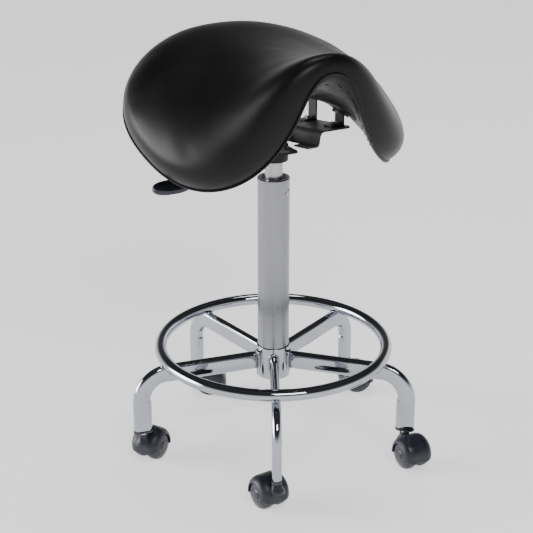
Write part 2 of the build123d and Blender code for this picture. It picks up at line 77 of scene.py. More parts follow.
def area_light(name, place, aim, size, power):
    data = bpy.data.lights.new(name, "AREA")
    data.shape = "RECTANGLE"
    data.size, data.size_y = size
    data.energy = power
    light = bpy.data.objects.new(name, data)
    scene.collection.objects.link(light)
    light.location = place
    light.rotation_euler = (Vector(aim) - Vector(place)).to_track_quat("-Z", "Y").to_euler()


FLOOR_SIZE = 14
FLOOR_LEVEL = -0.0006     # just under the wheels, so that the two surfaces don't share a plane

# Room by height above the horizon: pale low down, dark overhead
ROOM_LOW, ROOM_TOP = (0.86, 0.87, 0.88, 1), (0.05, 0.05, 0.052, 1)
ROOM_LEVELS = ((0.08, 0.78), (0.20, 0.40), (0.34, 0.08), (0.55, 0.03), (0.74, 0.03))
ROOM_STRENGTH = 1.5

# Plain backdrop that shows behind the floor in place of the room
BACKDROP, BACKDROP_STRENGTH = (0.86, 0.865, 0.87, 1), 1.6

# Soft windows at the room's sides: way to the middle, strength
WINDOWS = (((-0.86, 0.48, 0.10), 19.0), ((0.94, 0.33, 0.04), 1.1))
WINDOW_EDGE, WINDOW_CORE = 0.90, 0.98


def add_window(tree, coord, way, strength):
    """Background light that falls off smoothly round one direction."""
    dot = tree.nodes.new("ShaderNodeVectorMath")
    dot.operation = "DOT_PRODUCT"
    dot.inputs[1].default_value = Vector(way).normalized()
    fade = tree.nodes.new("ShaderNodeMapRange")
    fade.interpolation_type = "SMOOTHSTEP"
    fade.inputs["From Min"].default_value = WINDOW_EDGE
    fade.inputs["From Max"].default_value = WINDOW_CORE
    fade.inputs["To Max"].default_value = strength
    glow = tree.nodes.new("ShaderNodeBackground")
    tree.links.new(coord.outputs["Generated"], dot.inputs[0])
    tree.links.new(dot.outputs["Value"], fade.inputs["Value"])
    tree.links.new(fade.outputs["Result"], glow.inputs["Strength"])
    return glow


def build_world():
    world = bpy.data.worlds.new("studio")
    scene.world = world
    world.use_nodes = True
    tree = world.node_tree
    tree.nodes.clear()
    coord = tree.nodes.new("ShaderNodeTexCoord")
    split = tree.nodes.new("ShaderNodeSeparateXYZ")
    ramp = tree.nodes.new("ShaderNodeValToRGB")
    room = tree.nodes.new("ShaderNodeBackground")
    room.inputs["Strength"].default_value = ROOM_STRENGTH
    tree.links.new(coord.outputs["Generated"], split.inputs[0])
    tree.links.new(split.outputs["Z"], ramp.inputs[0])
    tree.links.new(ramp.outputs[0], room.inputs[0])
    stops = ramp.color_ramp.elements
    stops[0].position, stops[0].color = 0.0, ROOM_LOW
    stops[1].position, stops[1].color = 1.0, ROOM_TOP
    for place, level in ROOM_LEVELS:
        stops.new(place).color = (level, level, level * 1.02, 1)
    light = room
    for way, strength in WINDOWS:
        both = tree.nodes.new("ShaderNodeAddShader")
        tree.links.new(light.outputs[0], both.inputs[0])
        tree.links.new(add_window(tree, coord, way, strength).outputs[0], both.inputs[1])
        light = both
    backdrop = tree.nodes.new("ShaderNodeBackground")
    backdrop.inputs["Color"].default_value = BACKDROP
    backdrop.inputs["Strength"].default_value = BACKDROP_STRENGTH
    path = tree.nodes.new("ShaderNodeLightPath")
    seen = tree.nodes.new("ShaderNodeMixShader")
    out = tree.nodes.new("ShaderNodeOutputWorld")
    tree.links.new(path.outputs["Is Camera Ray"], seen.inputs[0])
    tree.links.new(light.outputs[0], seen.inputs[1])
    tree.links.new(backdrop.outputs[0], seen.inputs[2])
    tree.links.new(seen.outputs[0], out.inputs[0])


def build_studio():
    build_world()
    area_light("front", (-0.5, -2.6, 2.7), (0, 0, 0.3), (1.6, 1.0), 48)
    area_light("above", (0.4, 0.6, 3.4), (0, 0, 0.2), (1.2, 1.2), 24)
    bpy.ops.mesh.primitive_plane_add(size=FLOOR_SIZE, location=(0, 0, FLOOR_LEVEL))
    floor = bpy.context.object
    floor.name = "floor"
    floor.data.materials.append(floor_paint())


# --------------------------------------------------------------- materials

class Paint:
    """Small helper that builds one procedural material."""

    def __init__(self, name):
        self.material = bpy.data.materials.new(name)
        self.material.use_nodes = True
        self.tree = self.material.node_tree
        self.shader = self.tree.nodes["Principled BSDF"]
        self.coord = self.add("ShaderNodeTexCoord")

    def add(self, kind, **values):
        node = self.tree.nodes.new(kind)
        for key, value in values.items():
            if key in node.inputs:
                node.inputs[key].default_value = value
            else:
                setattr(node, key, value)
        return node

    def link(self, source, target):
        self.tree.links.new(source, target)

    def set(self, **values):
        for key, value in values.items():
            self.shader.inputs[key.replace("_", " ")].default_value = value

    def colour(self, source):
        self.link(source, self.shader.inputs["Base Color"])

    def roughness(self, source):
        self.link(source, self.shader.inputs["Roughness"])

    def stretched(self, stretch):
        mapping = self.add("ShaderNodeMapping")
        mapping.inputs["Scale"].default_value = stretch
        self.link(self.coord.outputs["Object"], mapping.inputs[0])
        return mapping.outputs[0]

    def noise(self, scale, detail=3.0, stretch=(1, 1, 1), rough=0.5):
        node = self.add("ShaderNodeTexNoise", Scale=scale, Detail=detail, Roughness=rough)
        self.link(self.stretched(stretch), node.inputs["Vector"])
        return node.outputs["Fac"]

    def cells(self, scale, feature):
        node = self.add("ShaderNodeTexVoronoi", Scale=scale, feature=feature)
        self.link(self.stretched((1, 1, 1)), node.inputs["Vector"])
        return node.outputs["Distance"]

    def ramp(self, source, low, high, start=0.3, end=0.7):
        node = self.add("ShaderNodeMapRange")
        node.inputs["From Min"].default_value = start
        node.inputs["From Max"].default_value = end
        node.inputs["To Min"].default_value = low
        node.inputs["To Max"].default_value = high
        self.link(source, node.inputs["Value"])
        return node.outputs["Result"]

    def tint(self, source, dark, light, start=0.3, end=0.7):
        node = self.add("ShaderNodeMix", data_type="RGBA")
        self.link(self.ramp(source, 0.0, 1.0, start, end), node.inputs[0])
        node.inputs[6].default_value = (*dark, 1)
        node.inputs[7].default_value = (*light, 1)
        return node.outputs[2]

    def mix(self, factor, a, b):
        node = self.add("ShaderNodeMix", data_type="RGBA")
        self.link(factor, node.inputs[0])
        self.link(a, node.inputs[6])
        node.inputs[7].default_value = (*b, 1)
        return node.outputs[2]

    def bumps(self, *layers):
        """Each layer is (height source, strength, depth in metres)."""
        normal = None
        for source, strength, depth in layers:
            node = self.add("ShaderNodeBump", Strength=strength, Distance=depth)
            self.link(source, node.inputs["Height"])
            if normal is not None:
                self.link(normal, node.inputs["Normal"])
            normal = node.outputs[0]
        self.link(normal, self.shader.inputs["Normal"])

    def edges(self, low, high):
        """1 on sharp outside edges, where a finish wears first."""
        geometry = self.add("ShaderNodeNewGeometry")
        return self.ramp(geometry.outputs["Pointiness"], 0.0, 1.0, low, high)


def floor_paint():
    p = Paint("floor_paint")
    p.colour(p.tint(p.noise(1.2), (0.86, 0.865, 0.87), (0.89, 0.892, 0.895)))
    p.set(Roughness=0.75, Emission_Color=(1, 1, 1, 1), Emission_Strength=0.85)
    return p.material


def chrome(name, level=0.43, rough=(0.03, 0.08), scratch=0.03):
    """Bright plating: faint haze, fine polishing marks and a slight ripple from the tube."""
    p = Paint(name)
    haze = p.noise(38, 4)
    dark = (level - 0.07, level - 0.055, level - 0.02)
    p.colour(p.tint(p.noise(9, 3), dark, (level - 0.02, level, level + 0.045)))
    p.roughness(p.ramp(haze, *rough, 0.3, 0.75))
    p.set(Metallic=1.0)
    p.bumps((p.noise(14, 2), 0.12, 0.0006), (p.noise(900, 2), scratch, 0.00004))
    return p.material


def satin_chrome(name, level=0.62):
    """Ground tube: fine marks round the tube and soft reflections."""
    p = Paint(name)
    grain = p.noise(260, 4, (1, 1, 9))
    dark = (level - 0.06, level - 0.055, level - 0.04)
    p.colour(p.tint(p.noise(18, 3, (1, 1, 0.3)), dark, (level, level, level + 0.02)))
    p.roughness(p.ramp(grain, 0.22, 0.36))
    p.set(Metallic=1.0, Anisotropic=0.4)
    p.bumps((grain, 0.03, 0.00005), (p.noise(20, 2), 0.04, 0.0004))
    return p.material


def steel(name):
    p = Paint(name)
    marks = p.noise(420, 4, (1, 1, 6))
    p.colour(p.tint(p.noise(60, 4), (0.46, 0.46, 0.47), (0.62, 0.62, 0.63)))
    p.roughness(p.ramp(marks, 0.2, 0.4))
    p.set(Metallic=1.0)
    p.bumps((marks, 0.1, 0.00005))
    return p.material


def powder_coat(name):
    """Black powder coat: orange peel, and a paler rub along the edges."""
    p = Paint(name)
    peel = p.noise(700, 3)
    base = p.tint(p.noise(24, 4), (0.004, 0.004, 0.005), (0.010, 0.010, 0.012))
    p.colour(p.mix(p.edges(0.56, 0.66), base, (0.05, 0.05, 0.055)))
    p.roughness(p.ramp(p.noise(50, 4), 0.38, 0.52))
    p.set(Specular_IOR_Level=0.2)
    p.bumps((peel, 0.22, 0.00012), (p.noise(30, 2), 0.1, 0.0003))
    return p.material


def nylon(name, dark=(0.005, 0.006, 0.011), light=(0.014, 0.017, 0.030), rough=(0.36, 0.5)):
    """Moulded black nylon: fine spark texture, dusty patches and scuffed edges."""
    p = Paint(name)
    base = p.tint(p.noise(45, 5), dark, light)
    p.colour(p.mix(p.edges(0.55, 0.68), base, (0.06, 0.06, 0.075)))
    p.roughness(p.ramp(p.noise(80, 4), *rough))
    p.bumps((p.noise(1500, 3), 0.25, 0.00008), (p.noise(60, 3), 0.12, 0.0003))
    return p.material


def acetal(name):
    p = Paint(name)
    p.colour(p.tint(p.noise(60, 3), (0.66, 0.65, 0.60), (0.78, 0.77, 0.73)))
    p.roughness(p.ramp(p.noise(120, 3), 0.32, 0.46))
    p.set(Subsurface_Weight=0.05)
    p.bumps((p.noise(900, 2), 0.12, 0.00006))
    return p.material


def rubber(name):
    p = Paint(name)
    p.colour(p.tint(p.noise(90, 4), (0.018, 0.018, 0.018), (0.034, 0.034, 0.035)))
    p.roughness(p.ramp(p.noise(200, 3), 0.6, 0.8))
    p.bumps((p.noise(1100, 3), 0.35, 0.0001))
    return p.material


def stained_ply(name):
    """Black stained plywood: fine grain along the seat under a thin varnish."""
    p = Paint(name)
    grain = p.noise(70, 6, (1, 0.08, 1), 0.65)
    p.colour(p.tint(grain, (0.003, 0.0028, 0.0026), (0.012, 0.011, 0.010)))
    p.roughness(p.ramp(grain, 0.34, 0.55))
    p.set(Coat_Weight=0.08, Specular_IOR_Level=0.25)
    p.bumps((grain, 0.3, 0.0002), (p.noise(400, 3, (1, 0.05, 1)), 0.2, 0.0001))
    return p.material


def vinyl(name):
    """Satin black vinyl: small leather grain, finer pores and faint rubbed patches."""
    p = Paint(name)
    grain = p.cells(620, "F1")
    wide = p.cells(310, "SMOOTH_F1")
    patches = p.noise(7, 5, rough=0.55)
    base = p.tint(patches, (0.0014, 0.0014, 0.0016), (0.0034, 0.0034, 0.0038))
    p.colour(p.mix(p.ramp(grain, 0.0, 0.35, 0.55, 0.9), base, (0.006, 0.006, 0.0066)))
    p.roughness(p.ramp(patches, 0.33, 0.46))
    p.set(Specular_IOR_Level=0.2)
    p.bumps((wide, 0.14, 0.0004), (grain, 0.2, 0.0002), (p.noise(16, 4), 0.3, 0.0014))
    return p.material


def build_materials():
    return {
        "chrome_tube": chrome("chrome_tube"),
        "weld": chrome("weld", 0.46, (0.12, 0.28), 0.25),
        "bright_steel": steel("bright_steel"),
        # The gas tube's darker level (0.42) is partly its own satin tone and partly painted shade for the
        # socket's shadow on the tube
        "gas_tube": satin_chrome("gas_tube", 0.42),
        "column": satin_chrome("column", 0.30),
        "black_steel": powder_coat("black_steel"),
        "black_nylon": nylon("black_nylon"),
        "tread": nylon("tread", (0.005, 0.006, 0.011), (0.013, 0.016, 0.028), (0.24, 0.4)),
        "white_plastic": acetal("white_plastic"),
        "bumper_rubber": rubber("bumper_rubber"),
        "ply_shell": stained_ply("ply_shell"),
        "seat_cover": vinyl("seat_cover"),
    }


def paint(piece, material):
    piece.data.materials.clear()
    piece.data.materials.append(material)


def paint_cad_nodes(materials):
    slots = {row["node"]: row["material_slot"] for row in frame["record"]["subparts"]}
    for name, node in nodes.items():
        paint(node, materials[slots[name]])
    paint(nodes["column_tube"], materials["column"])
    paint(nodes["column_collar"], materials["column"])


# ------------------------------------------------------------ mesh helpers

def add_mesh(name, points, faces):
    mesh = bpy.data.meshes.new(name)
    mesh.from_pydata([tuple(p) for p in points], [], faces)
    mesh.validate()
    mesh.update()
    piece = bpy.data.objects.new(name, mesh)
    scene.collection.objects.link(piece)
    bm = bmesh.new()
    bm.from_mesh(mesh)
    bmesh.ops.recalc_face_normals(bm, faces=bm.faces)
    bm.to_mesh(mesh)
    bm.free()
    for polygon in mesh.polygons:
        polygon.use_smooth = True
    return piece


def grid_faces(rows, columns, close_rows=False):
    """Quads of a grid whose columns close on themselves."""
    faces = []
    for i in range(rows if close_rows else rows - 1):
        a, b = i * columns, ((i + 1) % rows) * columns
        for j in range(columns):
            k = (j + 1) % columns
            faces.append((a + j, a + k, b + k, b + j))
    return faces


def fan(centre, first, count):
    return [(centre, first + j, first + (j + 1) % count) for j in range(count)]


def apply_modifiers(piece):
    bpy.context.view_layer.update()
    graph = bpy.context.evaluated_depsgraph_get()
    mesh = bpy.data.meshes.new_from_object(piece.evaluated_get(graph))
    piece.modifiers.clear()
    piece.data = mesh


def join(name, shells):
    """One piece from several closed shells, each a (points, faces) pair."""
    points, faces = [], []
    for more_points, more_faces in shells:
        start = len(points)
        points += [tuple(point) for point in more_points]
        faces += [tuple(start + k for k in face) for face in more_faces]
    return add_mesh(name, points, faces)


def lathe(profile, count):
    """Closed loop of (radius, height) in mm turned about Z."""
    turns = np.linspace(0, 2 * np.pi, count, endpoint=False)
    loop = np.array(profile, float) * MM
    points = [(r * math.cos(a), r * math.sin(a), z) for a in turns for r, z in loop]
    return points, grid_faces(count, len(loop), close_rows=True)


def spindle(profile, count):
    """Profile of (radius, height) in mm that starts and ends on the axis, turned about Z."""
    turns = np.linspace(0, 2 * np.pi, count, endpoint=False)
    rings = np.array(profile[1:-1], float) * MM
    points = [(r * math.cos(a), r * math.sin(a), z) for r, z in rings for a in turns]
    points += [(0, 0, profile[0][1] * MM), (0, 0, profile[-1][1] * MM)]
    faces = grid_faces(len(rings), count)
    faces += fan(len(points) - 2, 0, count)
    faces += fan(len(points) - 1, (len(rings) - 1) * count, count)
    return points, faces


def placed(shell, matrix):
    points, faces = shell
    return [matrix @ Vector(point) for point in points], faces


def tube_along(path, radii, sides, closed=False):
    """Round tube of changing radius along a path of points in metres."""
    path = [Vector(point) for point in path]
    count = len(path)
    points, across = [], None
    for k in range(count):
        before = path[k - 1] if closed or k else path[0]
        after = path[(k + 1) % count] if closed or k < count - 1 else path[k]
        along = (after - before).normalized()
        if across is None:
            across = along.orthogonal()
        across = (across - along * across.dot(along)).normalized()
        up = along.cross(across)
        for j in range(sides):
            a = 2 * math.pi * j / sides
            points.append(path[k] + (across * math.cos(a) + up * math.sin(a)) * radii[k])
    faces = grid_faces(count, sides, close_rows=closed)
    if not closed:
        points += [path[0], path[-1]]
        faces += fan(count * sides, 0, sides) + fan(count * sides + 1, (count - 1) * sides, sides)
    return points, faces


def finish(piece, body, material, slot, *replaced):
    paint(piece, material)
    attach(piece, body)
    if replaced:
        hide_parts(*replaced)
    return piece


# -------------------------------------------------------------------- base

LEG_COUNT = 5
FIRST_LEG = -117.0
LEG_REACH = 220.5
LEG_LEVEL = 153.0
LEG_END = 58.0
LEG_BEND = 45.0
OVAL_TALL, OVAL_WIDE = 30.0, 15.0
OVAL_WALL = 1.5
LEG_RUN_STEPS, LEG_TURN_STEPS, LEG_DROP_STEPS = 12, 36, 8
LEG_SOFT = 0.5            # rounding of the leg's cut end
LEG_DEPTH = 12.0          # how far the leg is open from below
CREASES = ((0.34, 0.5), (0.50, 0.9), (0.66, 0.6))    # (share of the bend, depth)
CREASE_SPAN = 0.045
FLAT_DEPTH, FLAT_START, FLAT_STOP = 2.2, 0.25, 0.07
OVAL_SPREAD = 0.05
RING_REACH, RING_RADIUS, RING_LEVEL = 181.6, 9.5, 176.9
HUB_RADIUS = 27.0
HUB_INSIDE = 25.1
HUB_LOW, HUB_HIGH = 125.0, 178.0


def leg_heading(k):
    return math.radians(FIRST_LEG + k * 360.0 / LEG_COUNT)


def stadium(tall, wide, count=40):
    """Points round a flat oval as (along its height, along its width)."""
    radius, straight = wide / 2, (tall - wide) / 2
    points = []
    for k in range(count):
        a = 2 * math.pi * (k + 0.5) / count
        shift = straight if math.cos(a) > 0 else -straight
        points.append((radius * math.cos(a) + shift, radius * math.sin(a)))
    return points


def leg_stations():
    """Stations along the leg: (reach, level, lean in radians, share of the bend done)."""
    stations = []
    start, turn = HUB_INSIDE, LEG_REACH - LEG_BEND
    for k in range(LEG_RUN_STEPS + 1):
        stations.append((start + (turn - start) * k / LEG_RUN_STEPS, LEG_LEVEL, 0.0, 0.0))
    for k in range(1, LEG_TURN_STEPS + 1):
        a = math.pi / 2 * k / LEG_TURN_STEPS
        level = LEG_LEVEL - LEG_BEND * (1 - math.cos(a))
        stations.append((turn + LEG_BEND * math.sin(a), level, a, k / LEG_TURN_STEPS))
    low = LEG_LEVEL - LEG_BEND
    for k in range(1, LEG_DROP_STEPS + 1):
        level = low + (LEG_END + LEG_SOFT - low) * k / LEG_DROP_STEPS
        stations.append((LEG_REACH, level, math.pi / 2, 1.0))
    return stations


def pinch(share, height):
    """What the bend does to the oval's inner side: how far it sinks and how much wider it gets."""
    inner = max(-height / (OVAL_TALL / 2), 0.0) ** 2
    creases = sum(depth * math.exp(-(((share - place) / CREASE_SPAN) ** 2)) for place, depth in CREASES)
    flat = FLAT_DEPTH * min(share / FLAT_START, 1.0) * min((1 - share) / FLAT_STOP, 1.0)
    return inner * (creases + flat), 1 + OVAL_SPREAD * math.sin(math.pi * share) * inner


def leg_shell(heading):
    """Flat-oval tube bent down over a former, with its end turned in to the wall."""
    rings = []
    outline = stadium(OVAL_TALL, OVAL_WIDE)
    for reach, level, lean, share in leg_stations():
        ring = []
        for height, width in outline:
            sink, spread = pinch(share, height)
            out = height + sink
            ring.append((reach + out * math.sin(lean), width * spread, level + out * math.cos(lean)))
        rings.append(ring)
    for inset, level in ((LEG_SOFT, LEG_END), (OVAL_WALL, LEG_END), (OVAL_WALL, LEG_END + LEG_DEPTH)):
        inner = stadium(OVAL_TALL - 2 * inset, OVAL_WIDE - 2 * inset)
        rings.append([(LEG_REACH + height, width, level) for height, width in inner])
    c, s = math.cos(heading), math.sin(heading)
    count = len(outline)
    points = [((x * c - y * s) * MM, (x * s + y * c) * MM, z * MM) for ring in rings for x, y, z in ring]
    ends = ((HUB_INSIDE, LEG_LEVEL), (LEG_REACH, LEG_END + LEG_DEPTH))
    points += [(x * c * MM, x * s * MM, z * MM) for x, z in ends]
    faces = grid_faces(len(rings), count)
    faces += fan(len(points) - 2, 0, count) + fan(len(points) - 1, (len(rings) - 1) * count, count)
    return points, faces


def round_loop(reach, level, radius, count):
    turns = [2 * math.pi * k / count for k in range(count)]
    return [(reach + radius * math.cos(a), level + radius * math.sin(a)) for a in turns]


def hub_profile():
    """Sleeve wall with softened ends."""
    soft = 0.8
    return [(HUB_INSIDE, HUB_LOW + soft), (HUB_INSIDE + soft, HUB_LOW), (HUB_RADIUS - soft, HUB_LOW),
            (HUB_RADIUS - 0.2, HUB_LOW + 0.2), (HUB_RADIUS, HUB_LOW + soft), (HUB_RADIUS, HUB_HIGH - soft),
            (HUB_RADIUS - 0.2, HUB_HIGH - 0.2), (HUB_RADIUS - soft, HUB_HIGH), (HUB_INSIDE + soft, HUB_HIGH),
            (HUB_INSIDE, HUB_HIGH - soft)]


BEAD_STEP, BEAD_PITCH, BEAD_SIDES = 0.5, 2.1, 8
HUB_BEAD, SEAM_BEAD = 1.9, 1.7
SEAM_HALF, SEAM_APART = 5.6, 4.6     # beads where the ring lies on a leg


def bead(path, radius, closed=False):
    """Weld bead whose thickness ripples along the path; lengths in mm."""
    dense, radii, run = [], [], 0.0
    pairs = list(zip(path, path[1:] + path[:1]))
    for a, b in pairs if closed else pairs[:-1]:
        length = (Vector(b) - Vector(a)).length
        steps = max(int(length / BEAD_STEP), 1)
        for k in range(steps):
            dense.append(Vector(a).lerp(Vector(b), k / steps) * MM)
            wave = abs(math.sin(math.pi * (run + length * k / steps) / BEAD_PITCH))
            radii.append(radius * (0.80 + 0.32 * wave) * MM)
        run += length
    return tube_along(dense, radii, BEAD_SIDES, closed)


def weld_shells():
    """Beads round each leg at the hub, and along both sides of the ring on each leg."""
    shells = []
    top = LEG_LEVEL + OVAL_TALL / 2 + 0.9
    for k in range(LEG_COUNT):
        heading = leg_heading(k)
        c, s = math.cos(heading), math.sin(heading)
        collar = []
        for height, width in stadium(OVAL_TALL + 1.2, OVAL_WIDE + 1.2, 36):
            x = math.sqrt(HUB_RADIUS**2 - width**2) + 0.8
            collar.append((x * c - width * s, x * s + width * c, LEG_LEVEL + height))
        shells.append(bead(collar, HUB_BEAD, closed=True))
        for side in (-1, 1):
            seam = []
            for j in range(9):
                turn = heading + (j / 4 - 1) * SEAM_HALF / RING_REACH
                reach = RING_REACH + side * SEAM_APART
                seam.append((reach * math.cos(turn), reach * math.sin(turn), top))
            shells.append(bead(seam, SEAM_BEAD))
    return shells


def build_base(materials):
    chrome_tube = materials["chrome_tube"]
    for k in range(LEG_COUNT):
        leg = join(f"bent_leg_{k + 1}", [leg_shell(leg_heading(k))])
        finish(leg, "base", chrome_tube, "chrome_tube", f"leg_{k + 1}")
    ring = join("ring_tube", [lathe(round_loop(RING_REACH, RING_LEVEL, RING_RADIUS, 28), 240)])
    finish(ring, "base", chrome_tube, "chrome_tube", "foot_ring")
    hub = join("hub_tube", [lathe(hub_profile(), 96)])
    finish(hub, "base", chrome_tube, "chrome_tube", "hub_sleeve")
    beads = join("weld_beads", weld_shells())
    finish(beads, "base", materials["weld"], "weld", "welds")


# ----------------------------------------------------------------- castors

TRAIL_HEADINGS = (96.0, 270.0, -14.0, -28.0, 33.0)
TRAIL = 22.0
WHEEL_RADIUS = 25.0
WHEEL_INNER = 6.3
HOOD_RADIUS, HOOD_WALL, HOOD_HALF = 28.5, 2.2, 24.5
HOOD_DROP = -7.0
HOOD_STEPS, HOOD_ARC_STEPS = 21, 48
HOOD_DOME = 8.0
WEB_HALF = 5.5
WEB_BOWL = WHEEL_RADIUS - 6.0
BOSS_RADIUS, BOSS_TOP = 8.0, 27.0


def castor_matrix(k):
    heading = leg_heading(k)
    trail = math.radians(TRAIL_HEADINGS[k])
    x = LEG_REACH * math.cos(heading) + TRAIL * math.cos(trail)
    y = LEG_REACH * math.sin(heading) + TRAIL * math.sin(trail)
    return Matrix.Translation((x * MM, y * MM, WHEEL_RADIUS * MM)) @ Matrix.Rotation(trail, 4, "Z")


def hood_section():
    """Section across the hood as (across, drop below the full radius): crowned outside, rolled edges."""
    outer = []
    for k in range(HOOD_STEPS):
        v = math.sin((k / (HOOD_STEPS - 1) - 0.5) * math.pi * 0.92)
        outer.append((HOOD_HALF * v * 0.985, HOOD_DOME * abs(v) ** 5))
    inner = [(-y * 0.94, drop + HOOD_WALL) for y, drop in outer]
    lip = [(HOOD_HALF, HOOD_DOME + 0.6), (HOOD_HALF * 0.97, HOOD_DOME + 1.6)]
    return outer + lip + inner + [(-y, drop) for y, drop in reversed(lip)]


def hood_shell():
    """Arched cover over both wheels, its lower ears flared a little and its ends rounded."""
    low = math.asin(HOOD_DROP / HOOD_RADIUS)
    section = hood_section()
    rings = []
    for k in range(HOOD_ARC_STEPS + 1):
        a = low + (math.pi - 2 * low) * k / HOOD_ARC_STEPS
        end = min(k, HOOD_ARC_STEPS - k) / HOOD_ARC_STEPS
        flare = 1.1 * math.exp(-((end / 0.05) ** 2))
        draw = 1 - 0.07 * math.exp(-((end / 0.022) ** 2))
        rings.append([((HOOD_RADIUS - drop + flare) * math.cos(a), y * draw,
                       (HOOD_RADIUS - drop + flare) * math.sin(a)) for y, drop in section])
    count = len(section)
    points = [(x * MM, y * MM, z * MM) for ring in rings for x, y, z in ring]
    faces = grid_faces(len(rings), count)
    for first in (0, (len(rings) - 1) * count):
        for j in range(HOOD_STEPS - 1):
            faces.append([first + index for index in (j, j + 1, count - 4 - j, count - 3 - j)])
        faces.append([first + index for index in range(HOOD_STEPS - 1, HOOD_STEPS + 3)])
        faces.append([first + index for index in (count - 3, count - 2, count - 1, 0)])
    return points, faces


def web_shell():
    """Rounded disc between the wheels, drawn in to a smaller bowl below the hood's ends."""
    radius = HOOD_RADIUS - 1.0
    profile = [(0, -WEB_HALF), (radius - 1.2, -WEB_HALF), (radius, 1.2 - WEB_HALF), (radius, WEB_HALF - 1.2),
               (radius - 1.2, WEB_HALF), (0, WEB_HALF)]
    points, faces = spindle(profile, 96)
    floor = HOOD_DROP * MM
    bowl = WEB_BOWL * MM
    laid = []
    for x, y, z in points:
        up = y
        if up < floor:
            reach = math.hypot(x, up)
            shrink = min(1.0, bowl / reach) if reach else 1.0
            x, up = x * shrink, max(up * shrink, -bowl)
        laid.append((x, z, up))
    return laid, faces


def boss_shell():
    """Stem boss that flares into the hood."""
    profile = [(0, 5.0), (BOSS_RADIUS, 5.0), (BOSS_RADIUS, 18.0), (BOSS_RADIUS, BOSS_TOP - 1.2),
               (BOSS_RADIUS - 0.4, BOSS_TOP - 0.4), (BOSS_RADIUS - 1.2, BOSS_TOP), (0, BOSS_TOP)]
    skirt = [(0, 8.0), (BOSS_RADIUS + 5.0, 8.0), (BOSS_RADIUS + 4.4, 13.0), (BOSS_RADIUS + 2.2, 17.0),
             (BOSS_RADIUS + 0.7, 20.0), (BOSS_RADIUS + 0.1, 23.0), (0, 23.4)]
    move = Matrix.Translation((-TRAIL * MM, 0, 0))
    return placed(spindle(profile, 40), move), placed(spindle(skirt, 40), move)


def wheel_shell(side):
    """Twin wheel: rounded tread, stepped rim, domed side and a raised hub cap."""
    profile = [(0, WHEEL_INNER), (21.0, WHEEL_INNER), (23.4, WHEEL_INNER + 0.2), (24.6, WHEEL_INNER + 1.0),
               (WHEEL_RADIUS, WHEEL_INNER + 2.4), (WHEEL_RADIUS, 13.4), (24.8, 15.2), (24.2, 17.0),
               (23.2, 18.6), (21.9, 19.9), (21.2, 20.4), (20.8, 20.2), (20.3, 20.1), (19.8, 20.6),
               (17.6, 21.7), (15.0, 22.6), (12.0, 23.3), (9.6, 23.6), (9.1, 23.2), (8.6, 23.2),
               (8.1, 23.8), (6.6, 24.5), (3.4, 24.8), (0, 24.9)]
    lay = Matrix.Rotation(-side * math.pi / 2, 4, "X")
    return placed(spindle(profile, 72), lay)


def build_castors(materials):
    for k in range(LEG_COUNT):
        place = castor_matrix(k)
        number = k + 1
        shells = [hood_shell(), web_shell(), *boss_shell()]
        hood = join(f"castor_hood_{number}", [placed(shell, place) for shell in shells])
        finish(hood, f"castor_{number}", materials["black_nylon"], "black_nylon", f"castor_{number}_body")
        for side, word in ((1, "left"), (-1, "right")):
            wheel = join(f"wheel_{number}_{word}_tyre", [placed(wheel_shell(side), place)])
            finish(wheel, f"wheel_{number}_{word}", materials["tread"], "tread",
                   f"castor_{number}_wheel_{word}")


# ------------------------------------------------------------------- lever

PADDLE_TIP, PADDLE_LEVEL = 203.0, 472.0
PADDLE_LONG, PADDLE_WIDE, PADDLE_THICK = 62.0, 28.0, 9.0
PADDLE_TURN = math.radians(20.0)
PADDLE_SIDES, PADDLE_POWER = 48, 0.9
# Upper half of the grip's section, from the middle to the edge: (share of the half width, level by thickness)
PADDLE_ROWS = ((0.0, 0.30), (0.35, 0.33), (0.62, 0.42), (0.80, 0.50), (0.90, 0.48), (0.965, 0.36),
               (1.0, 0.14))


def build_paddle(materials):
    """Flat oval grip with a soft edge and a shallow hollow for the finger on both faces."""
    rows = PADDLE_ROWS + tuple((share, -level) for share, level in reversed(PADDLE_ROWS))
    outline = []
    for k in range(PADDLE_SIDES):
        a = 2 * math.pi * (k + 0.5) / PADDLE_SIDES
        x, y = (math.copysign(abs(v) ** PADDLE_POWER, v) for v in (math.cos(a), math.sin(a)))
        outline.append((PADDLE_LONG / 2 * x, PADDLE_WIDE / 2 * y))
    centre = -PADDLE_TIP + PADDLE_LONG / 2
    points = []
    for share, level in rows[1:-1]:
        for x, y in outline:
            inset = (1 - share) * PADDLE_WIDE / 2
            size = math.hypot(x, y)
            keep = (size - inset) / size
            z = PADDLE_LEVEL + level * PADDLE_THICK
            points.append(((centre + x * keep) * MM, y * keep * MM, z * MM))
    for _, level in (rows[0], rows[-1]):
        points.append((centre * MM, 0, (PADDLE_LEVEL + level * PADDLE_THICK) * MM))
    count = len(outline)
    faces = grid_faces(len(rows) - 2, count)
    faces += fan(len(points) - 2, 0, count) + fan(len(points) - 1, (len(rows) - 3) * count, count)
    turn = Matrix.Translation((0, 0, PADDLE_LEVEL * MM)) @ Matrix.Rotation(PADDLE_TURN, 4, "X")
    turn = turn @ Matrix.Translation((0, 0, -PADDLE_LEVEL * MM))
    grip = add_mesh("lever_grip", *placed((points, faces), turn))
    grip.modifiers.new("smooth", "SUBSURF").levels = 1
    apply_modifiers(grip)
    finish(grip, "lever", materials["black_nylon"], "black_nylon", "lever_paddle")


# ------------------------------------------------------------------ saddle

